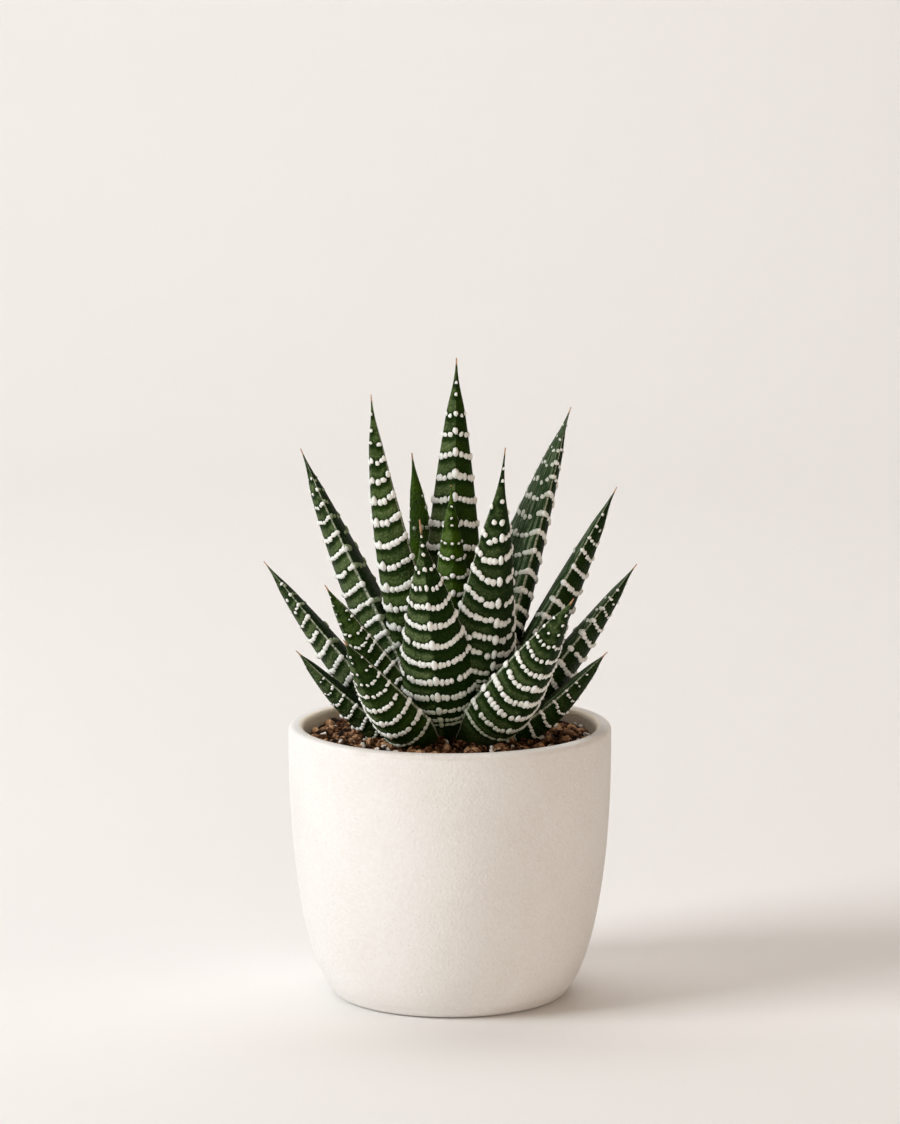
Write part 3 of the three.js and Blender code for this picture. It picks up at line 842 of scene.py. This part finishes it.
def pearls(start, given, crowd, outer, ball, seed):
    """Rows of pearls across one face, spaced evenly along each band from margin to margin. Every band has the
    same number of slots, counted from the keel, and those past its margins stay empty."""

    def chance(low, high, step, number=None):
        inputs = {"Min": low, "Max": high, "Seed": given["Seed"] * 31 + (seed + step)}
        if number is not None:
            inputs["ID"] = number
        return start.make("FunctionNodeRandomValue", {"data_type": "FLOAT"}, inputs).out("Value")

    number = start.make("GeometryNodeInputIndex")
    band = ((number + 0.5) / PEARL_SLOTS).maths("FLOOR")
    slot = number - band * PEARL_SLOTS - (PEARL_SLOTS - 1) / 2
    off_keel = abs(slot) > 0.5
    pitch = given["Pitch"]
    from_tip = band_place(given, band)
    along = 1 - from_tip / given["Length"]
    width = leaf_width(given, along)
    dotted = (from_tip / given["Dotted"]).smooth(0.5, 1.0, DOTTED_GAP, 1.0)
    jitter = chance(-SLOT_JITTER, SLOT_JITTER, 1) * off_keel
    if outer:
        room = (width * OUTER_REACH / (pitch * dotted)).maths("FLOOR")
        share = (slot + KEEL_ROOM * slot.maths("SIGN") + jitter) / (room + OUTER_MARGIN + KEEL_ROOM)
        turn = share * (1 - (1 - abs(share)) * along * (0.9 * LEAF_RIDGE[1])) * (math.pi / 2)
    else:
        room = (width * INNER_REACH / pitch).maths("FLOOR")
        share = (slot + jitter) / (room + INNER_MARGIN)
        turn = share * (math.pi / 2) + math.pi
    side = turn.maths("SINE")

    # An unruly leaf's bands are broken into pieces that lie out of line, with an opening between them.
    place_in_band = side * HALF_BAND_PIECES + chance(0.0, 1.0, 8, band)
    piece = place_in_band.maths("FLOOR")
    piece_number = band * 9 + piece
    opening = (place_in_band - piece) < chance(0.0, BAND_OPENING, 9, piece_number) * given["Unruly"]
    fault = chance(-BAND_FAULT, BAND_FAULT, 10, piece_number) * given["Unruly"]
    keep = (abs(slot) < room + 0.5) * (along > LOWEST_BAND) * (1 - opening * off_keel)
    if not outer:
        keep = keep * (chance(0.0, 1.0, 7, piece_number) < given["Inner Bands"])

    # Each pearl strays a little, and the band as a whole wanders, dips and flattens towards the margins.
    stray = chance(-PEARL_STRAY, PEARL_STRAY, 2) + chance(-DOTTED_STRAY, DOTTED_STRAY, 11) * (dotted - 1)
    spot_on_leaf = start.make(
        "ShaderNodeCombineXYZ", None, {"X": side * 1.3, "Y": from_tip * 90, "Z": given["Seed"] * 3.7}
    )
    drift = stray + fault - (spot_on_leaf.noise(1.0, 1.0) - 0.5) * BAND_WANDER
    drift = drift - given["Dip"] * (0.5 - side * side) * from_tip.smooth(*FULL_DIP_FROM)
    drift = drift - abs(side) * (1 - abs(side)) * BAND_FLAT
    along = along + drift / given["Length"]
    width = leaf_width(given, along)
    place, heading, across, out = leaf_axes(given, along)
    if outer:
        rise = outer_rise(along, turn)
        slope = outer_slope(along, turn)
    else:
        bulge = between(along, LEAF_INNER_BULGE)
        rise = bulge * turn.maths("COSINE")
        slope = side * bulge
    normal = (out * turn.maths("COSINE") * 0.5 + across * slope).maths("NORMALIZE")
    spot = place + across * (side * width * 0.5) + out * (rise * width)

    on_keel = (1 - abs(slot).smooth(0.4, 0.9)) * from_tip.smooth(*KEEL_PEARLS_FROM)
    at_end = abs(slot) > room - 0.5
    size = from_tip.smooth(*FULL_SIZE_FROM, SMALLEST_PEARL, 1.0)
    thin = along.smooth(*THIN_BELOW, THINNEST, 1.0)
    broad = pitch * PEARL_BROAD * (chance(*BROAD_SPREAD, 4) + at_end * 0.1)
    long = given["Tall"] * 0.5 * (chance(*LONG_SPREAD, 5) + on_keel * 0.5 + at_end * 0.15) * thin
    high = PEARL_HIGH * (chance(*HIGH_SPREAD, 3) + on_keel * 0.7 + at_end * 0.2) * thin
    high = high * (1.0 if outer else INNER_PEARL_HEIGHT)
    stretch = start.make("ShaderNodeCombineXYZ", None, {"X": broad, "Y": long, "Z": high})
    turned = start.make(
        "FunctionNodeAxesToRotation", {"primary_axis": "Z", "secondary_axis": "Y"},
        {"Primary Axis": normal, "Secondary Axis": heading},
    )
    # Painted shade: the pearls are dulled towards the leaf's base, where the leaves crowd, and on an inner
    # face that looks away from the window light.
    fading = along.smooth(*PAINTED_SHADE_BELOW, 1.0, 0.0)
    if not outer:
        shade = 1 - given["Sun"].axes().out("Z")
        fading = fading.maths("MAXIMUM", shade * 0.75)
    labels = {
        "pearl": 1.0,
        "tone": chance(0.0, 1.0, 6),
        "fading": fading,
        "outer": 1.0 if outer else 0.0,
    }
    seeds = start.make("GeometryNodePoints", None, {"Count": PEARL_SLOTS * BAND_COUNT, "Position": spot})
    for label, value in labels.items():
        seeds = store(seeds, label, value)
    return start.make(
        "GeometryNodeInstanceOnPoints", None,
        {"Points": seeds, "Selection": keep * (1 - covered(start, crowd, spot)), "Instance": ball,
         "Rotation": turned, "Scale": stretch * size},
    )


def leaf_tree():
    """The whole leaf: its skin and its pearls, each of them a closed shell."""
    vectors = ("Start", "Lower", "Upper", "Tip", "Level", "Sun")
    inputs = [(label, "Vector" if label in vectors else "Float") for label in LEAVES[0].inputs]
    inputs += [("Seed", "Int"), ("Others", "Object"), ("Skin", "Material"), ("Pearl", "Material")]
    tree, start, given = new_tree("zebra_leaf", *inputs)
    crowd = start.make("GeometryNodeObjectInfo", None, {"Object": given["Others"]}).out("Geometry")
    own = start.make("GeometryNodeInputNamedAttribute", {"data_type": "FLOAT"}, {"Name": "leaf_number"})
    crowd = start.make(
        "GeometryNodeDeleteGeometry", {"domain": "FACE", "mode": "ALL"},
        {"Geometry": crowd, "Selection": abs(own.out("Attribute") - given["Seed"]) < 0.5},
    )
    ball = start.make("GeometryNodeMeshUVSphere", None, {"Segments": 8, "Rings": 4, "Radius": 1.0})
    outer = pearls(start, given, crowd, True, ball, 100)
    inner = pearls(start, given, crowd, False, ball, 200)
    white = start.make("GeometryNodeRealizeInstances", None, {"Geometry": join(outer, inner)})
    whole = join(leaf_skin(start, given, white), white)
    label = start.make("GeometryNodeInputNamedAttribute", {"data_type": "FLOAT"}, {"Name": "pearl"})
    is_pearl = label.out("Attribute") > 0.5
    place = start.make("GeometryNodeInputPosition")
    knock = (place.noise(1100, 2, 0.6).out("Color") - (0.5, 0.5, 0.5)) * PEARL_KNOCK
    inputs = {"Geometry": whole, "Selection": is_pearl, "Offset": knock}
    knocked = start.make("GeometryNodeSetPosition", None, inputs)
    skinned = start.make("GeometryNodeSetMaterial", None, {"Geometry": knocked, "Material": given["Skin"]})
    inputs = {"Geometry": skinned, "Selection": is_pearl, "Material": given["Pearl"]}
    final = start.make("GeometryNodeSetMaterial", None, inputs)
    start.make("NodeGroupOutput", None, {"Geometry": final})
    return tree


def leaf_rind():
    """The green rind: pebbled on the outer face, with painted light and shade and a pale painted sheen on the
    facets that face the window light, and painted shadow beside and below the pearls. The inner face is
    streaked, with painted shade where it looks away from the window. The rind is pale along the margins and
    tan at the tip."""
    material, start, place, shader = new_material("leaf_rind")
    across = attribute(start, "across")
    side = abs(across)
    from_tip = attribute(start, "from_tip")
    outer = attribute(start, "outer")
    youth = attribute(start, "youth")
    # Painted light: each place on the outer face takes the painted brightness of its facet, blended softly
    # across the keel, and the inner face takes its own.
    painted_lights = attribute(start, "sun", "Vector").axes()
    softness = attribute(start, "unruly") * 0.5 + 0.02
    right = (across / softness).smooth(-1.0, 1.0)
    sun = painted_lights.out("X") + right * (painted_lights.out("Y") - painted_lights.out("X"))
    sun = painted_lights.out("Z") + outer * (sun - painted_lights.out("Z"))
    cloud = place.noise(120, 3, 0.6)
    grain = place.noise(1500, 3, 0.7)
    pebbles = place.cells(1300).smooth(0.7, 0.15)
    # Painted shade: the green is darker on the facets turned away from the window light, and between the
    # pebbles.
    green = ((cloud * 0.9 + pebbles * 0.5 - 0.3) * (sun * 0.5 + 0.5)).blend(LEAF_DEEP, LEAF_GREEN)
    fresh = youth * cloud.smooth(0.35, 0.65, 0.35, 1.0)
    green = fresh.blend(green, LEAF_YOUNG)
    # Painted sheen: a pale speckled sheen on the facets facing the window light, weaker towards the base
    # where the leaves shade each other.
    painted_sheen = cloud.smooth(0.3, 0.65, 0.1, 0.4) + pebbles * grain.smooth(0.3, 0.7) * 0.55
    painted_sheen = painted_sheen * (sun * 1.05 + 0.02) * attribute(start, "along").smooth(0.05, 0.6, 0.25, 1.0)
    # Painted shadow: right beside and below the pearls the rind is darker and has no painted sheen.
    clear = attribute(start, "gap").smooth(*PEARL_SHADOW_REACH)
    green = (painted_sheen * clear).blend(green, LEAF_PAINTED_SHEEN)
    green = clear.smooth(-0.6, 1.0).blend(LEAF_DEEP, green)
    streaks = start.make("ShaderNodeCombineXYZ", None, {"X": across * 6, "Y": from_tip * 70, "Z": youth})
    streak = streaks.noise(1.6, 4, 0.7).smooth(0.46, 0.64)
    # Painted shade on the inner face where it looks away from the window light. Its pale streaks show most
    # where it faces that light.
    inner = (sun * 0.75 + 0.2).blend(LEAF_DEEP, LEAF_INNER)
    inner = (streak * (sun * 0.7 + 0.1)).blend(inner, LEAF_STREAK)
    inner = (fresh * 0.8).blend(inner, LEAF_YOUNG)
    colour = outer.blend(inner, green)
    edge = side.smooth(0.990, 0.999)
    colour = (edge * grain.smooth(0.35, 0.6, 0.1, 0.8)).blend(colour, LEAF_EDGE)
    bristle = 1 - attribute(start, "dryness").smooth(0.6, 1.1)
    colour = bristle.blend(colour, BRISTLE_TAN)
    roughness = 0.40 + grain * 0.16 - youth * 0.08
    height = grain * 0.3 + pebbles * 0.7
    finish_material(start, shader, colour, roughness, height, LEAF_RELIEF, IOR=1.45, Specular_IOR_Level=0.05)
    return material


def pearl_shell():
    """The pearls: chalky white, greener and duller on the inner face, and dulled with painted shade towards
    the leaf's base and where the inner face looks away from the window light.
    """
    material, start, place, shader = new_material("white_pearl")
    tone = attribute(start, "tone")
    outer = attribute(start, "outer")
    cloud = place.noise(500, 3, 0.6)
    grain = place.noise(2600, 2, 0.6)
    shade = cloud * 0.9 + tone * 0.3 - 0.4
    white = shade.blend(PEARL_WHITE, PEARL_GREY)
    # The dull green is the inner face's own colour, and painted shade towards the base and on inner faces
    # turned away from the window.
    dull_and_shaded = (attribute(start, "fading") * 0.85 + (1 - outer) * (cloud * 0.5 + 0.1)).maths("MINIMUM", 1.0)
    colour = dull_and_shaded.blend(white, PEARL_DULL_AND_SHADED)
    finish_material(start, shader, colour, 0.55 + grain * 0.2, grain + cloud, PEARL_RELIEF, IOR=1.42)
    return material


def all_leaves():
    """The CAD leaves in one mesh that stores each face's leaf by number, to tell what a neighbour covers."""
    crowd = bmesh.new()
    number = crowd.faces.layers.float.new("leaf_number")
    for index, leaf in enumerate(LEAVES):
        known = len(crowd.faces)
        crowd.from_mesh(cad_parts[leaf.name].data)
        crowd.faces.ensure_lookup_table()
        for face in crowd.faces[known:]:
            face[number] = index
    mesh = bpy.data.meshes.new("all_leaves")
    crowd.to_mesh(mesh)
    crowd.free()
    return mesh


rosette = bpy.data.objects.new("all_leaves", all_leaves())
bpy.context.scene.collection.objects.link(rosette)
zebra_leaf = leaf_tree()
rind = leaf_rind()
pearl = pearl_shell()
for index, leaf in enumerate(LEAVES):
    values = {**leaf.inputs, "Seed": index, "Others": rosette, "Skin": rind, "Pearl": pearl}
    grown = grow(zebra_leaf, leaf.name + "_with_pearls", values)
    grown.shade_smooth()
    slot = "young_leaf" if leaf.name == "leaf_inner_front_young" else "leaf"
    add_piece(leaf.name + "_with_pearls", grown, slot, leaf.name)
bpy.data.objects.remove(rosette)

# --------------------------------------------------------------------------------------------------
# Studio
# The plant stands on a pale paper that sweeps up behind it. Daylight comes from a large window on the left,
# and the rest of the room fills in softly and more warmly from the front, the right and above.

TABLE_PALE = (0.855, 0.835, 0.815, 1)
TABLE_WARM = (0.825, 0.80, 0.775, 1)
TABLE_HALF_WIDTH = 4.0
TABLE_FRONT = -3.0
TABLE_BACK = 1.0
SWEEP_RADIUS = 0.5
SWEEP_STEPS = 16
WALL_TOP = 4.0
PAPER_RELIEF = 0.05 * MM
ROOM_GLOW = (1.0, 0.80, 0.62, 1)
ROOM_STRENGTH = 0.07
CAMERA_PLACE = (0.0, -1.4, 0.349)
CAMERA_DOWN = 9.21
CAMERA_LENS = 163.9
CAMERA_SENSOR = 36
CAMERA_REACH = 20


def sweep_mesh():
    """A floor that curves up into a wall."""
    mesh = bmesh.new()
    section = [(TABLE_FRONT, 0.0), (TABLE_BACK, 0.0)]
    for step in range(1, SWEEP_STEPS + 1):
        turn = math.pi / 2 * step / SWEEP_STEPS
        section.append((TABLE_BACK + SWEEP_RADIUS * math.sin(turn), SWEEP_RADIUS * (1 - math.cos(turn))))
    section.append((TABLE_BACK + SWEEP_RADIUS, WALL_TOP))
    rows = [[mesh.verts.new((x, y, z)) for x in (-TABLE_HALF_WIDTH, TABLE_HALF_WIDTH)] for y, z in section]
    for near, far in zip(rows, rows[1:]):
        mesh.faces.new((near[0], near[1], far[1], far[0]))
    return mesh


def paper():
    material, start, place, shader = new_material("pale_paper")
    cloud = place.noise(3, 3)
    tooth = place.noise(1200, 3, 0.7)
    colour = (cloud * 0.7 + tooth * 0.2).blend(TABLE_PALE, TABLE_WARM)
    finish_material(start, shader, colour, 0.85 + tooth * 0.1, tooth, PAPER_RELIEF)
    return material


def soft_light(name, place, target, size, watts, colour):
    """A rectangular light at that place, turned to face its target."""
    data = bpy.data.lights.new(name, "AREA")
    data.shape = "RECTANGLE"
    data.size, data.size_y = size
    data.energy = watts
    data.color = colour
    lamp = bpy.data.objects.new(name, data)
    bpy.context.scene.collection.objects.link(lamp)
    lamp.location = place
    lamp.rotation_euler = (Vector(target) - Vector(place)).to_track_quat("-Z", "Y").to_euler()


swept = sweep_mesh()
backdrop_mesh = bpy.data.meshes.new("table_and_backdrop")
swept.to_mesh(backdrop_mesh)
swept.free()
backdrop_mesh.shade_smooth()
backdrop_mesh.materials.append(paper())
backdrop = bpy.data.objects.new("table_and_backdrop", backdrop_mesh)
bpy.context.scene.collection.objects.link(backdrop)

soft_light("window_left", (-1.22, -0.52, 0.85), (0, 0, 0.09), (0.7, 0.9), 21, (0.92, 0.96, 0.985))
soft_light("room_front", (0.1, -2.0, 0.4), (0, 0, 0.06), (1.2, 0.8), 8.2, (1.0, 0.92, 0.85))
soft_light("room_right", (1.3, -0.7, 0.5), (0, 0, 0.06), (1.4, 1.2), 4.5, (1.0, 0.80, 0.62))
soft_light("ceiling_soft", (0.1, -0.2, 1.7), (0, 0, 0.05), (1.6, 1.6), 3.5, (1.0, 0.78, 0.56))
soft_light("backdrop_wash", (-0.3, 0.7, 1.6), (-0.3, 1.2, 0), (2.0, 0.8), 14.6, (0.99, 0.995, 1.02))

world = bpy.data.worlds.new("pale_room")
world.use_nodes = True
background = world.node_tree.nodes["Background"]
background.inputs["Color"].default_value = ROOM_GLOW
background.inputs["Strength"].default_value = ROOM_STRENGTH
bpy.context.scene.world = world
bpy.context.scene.view_settings.view_transform = "Standard"
bpy.context.scene.view_settings.look = "None"

# The camera stands far off with a long lens, a little above the plant, and looks slightly down.
lens = bpy.data.cameras.new("camera")
lens.lens = CAMERA_LENS
lens.sensor_width = CAMERA_SENSOR
lens.clip_end = CAMERA_REACH
camera = bpy.data.objects.new("camera", lens)
bpy.context.scene.collection.objects.link(camera)
camera.location = CAMERA_PLACE
camera.rotation_euler = (math.radians(90 - CAMERA_DOWN), 0, 0)
bpy.context.scene.camera = camera
